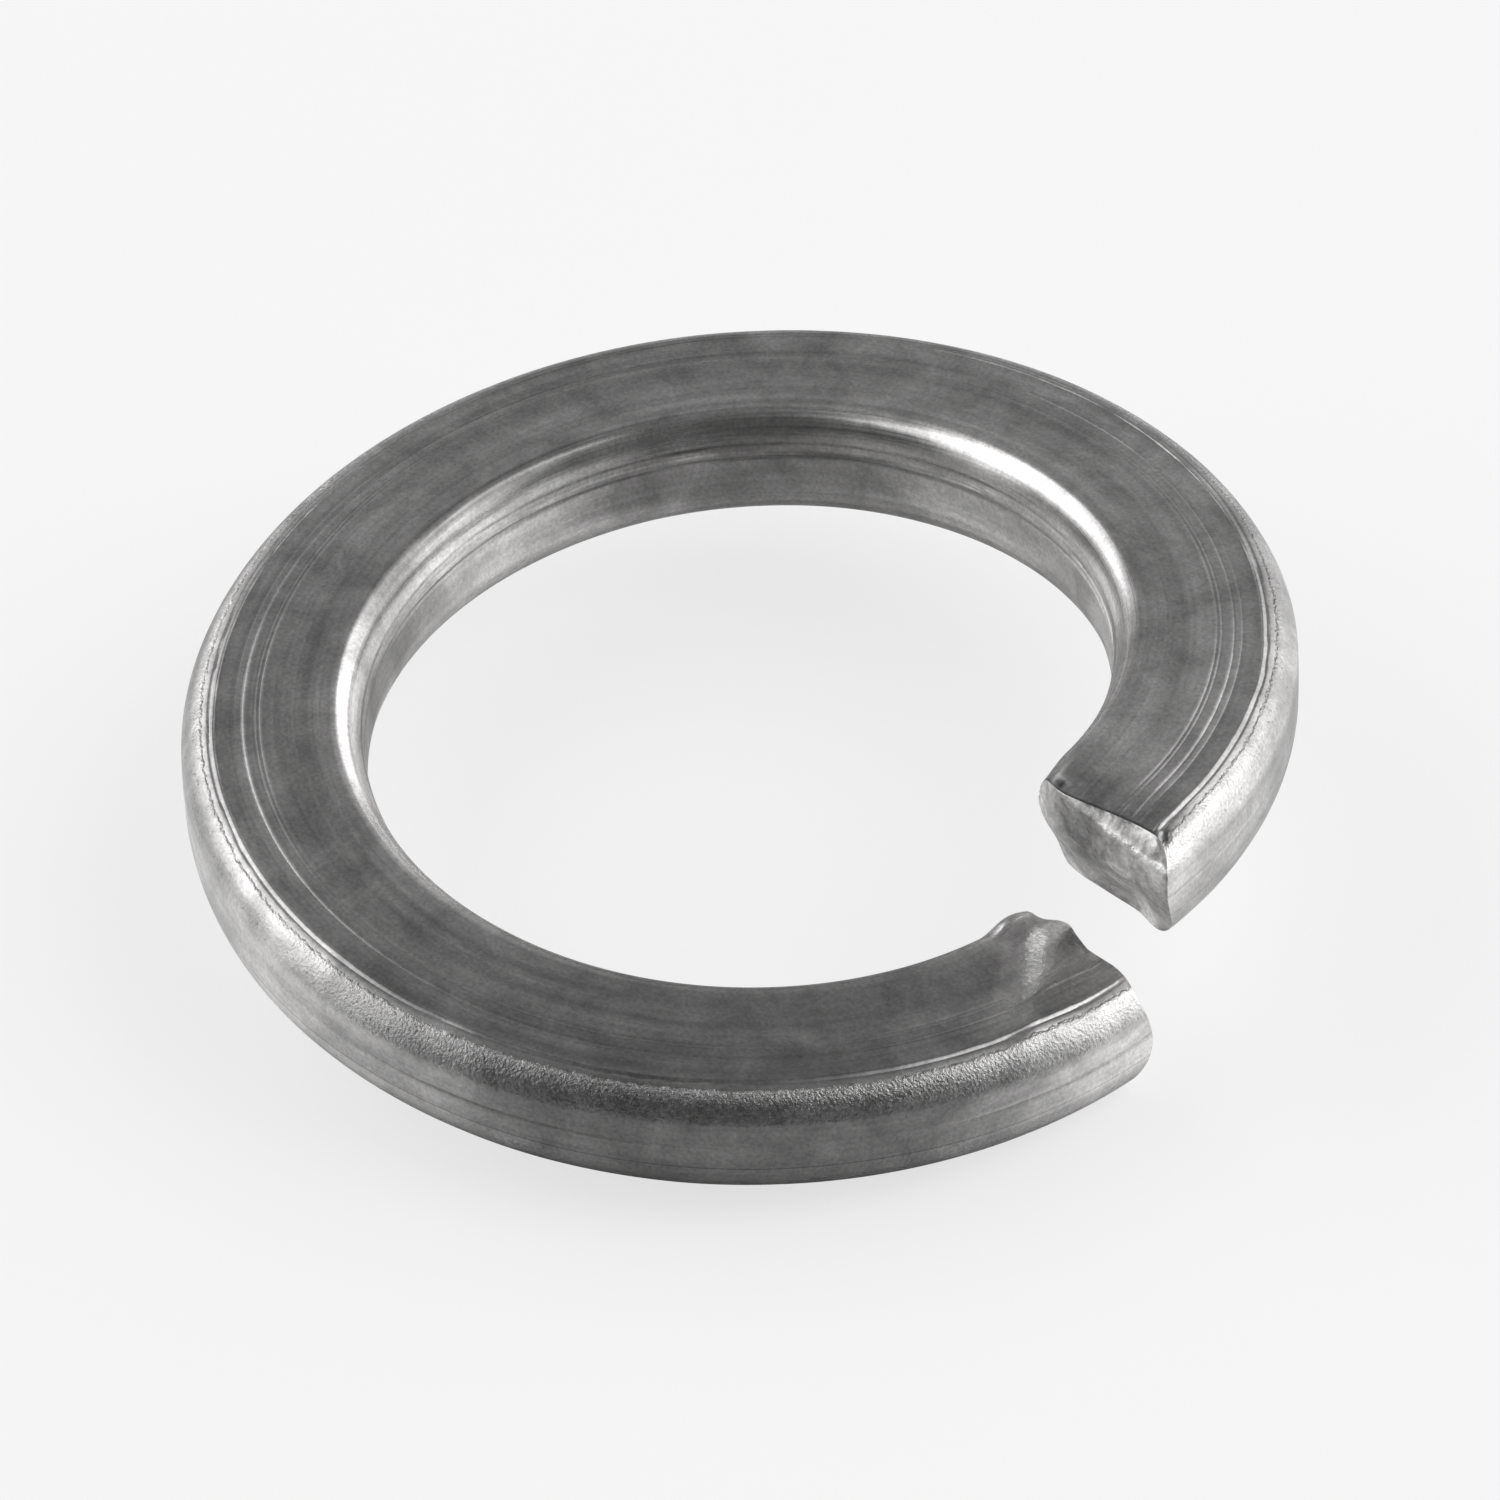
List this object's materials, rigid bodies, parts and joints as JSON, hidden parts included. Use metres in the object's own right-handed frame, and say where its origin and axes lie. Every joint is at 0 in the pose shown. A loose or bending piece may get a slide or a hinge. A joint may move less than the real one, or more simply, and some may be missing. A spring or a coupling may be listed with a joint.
{
  "type": "spring lock washer",
  "caption": "Split spring lock washer: one turn of rounded rectangular steel wire coiled as a left-hand helix, with sheared ends offset across a narrow gap.",
  "frame": {"origin": "on the axis of the bore, at the height of the lowest point of the free washer", "axes": "+Z along the bore axis, up; +X through the middle of the gap; the high end lies on the +Y side of the gap and the low end on the -Y side"},
  "size_m": [0.0425, 0.0424, 0.0112],
  "materials": {
    "steel": "satin rolled faces with fine circular scratches, finely pitted outer rounding, cloudy sheared ends"
  },
  "bodies": {
    "root": {"washer": "steel"}
  },
  "joints": []
}
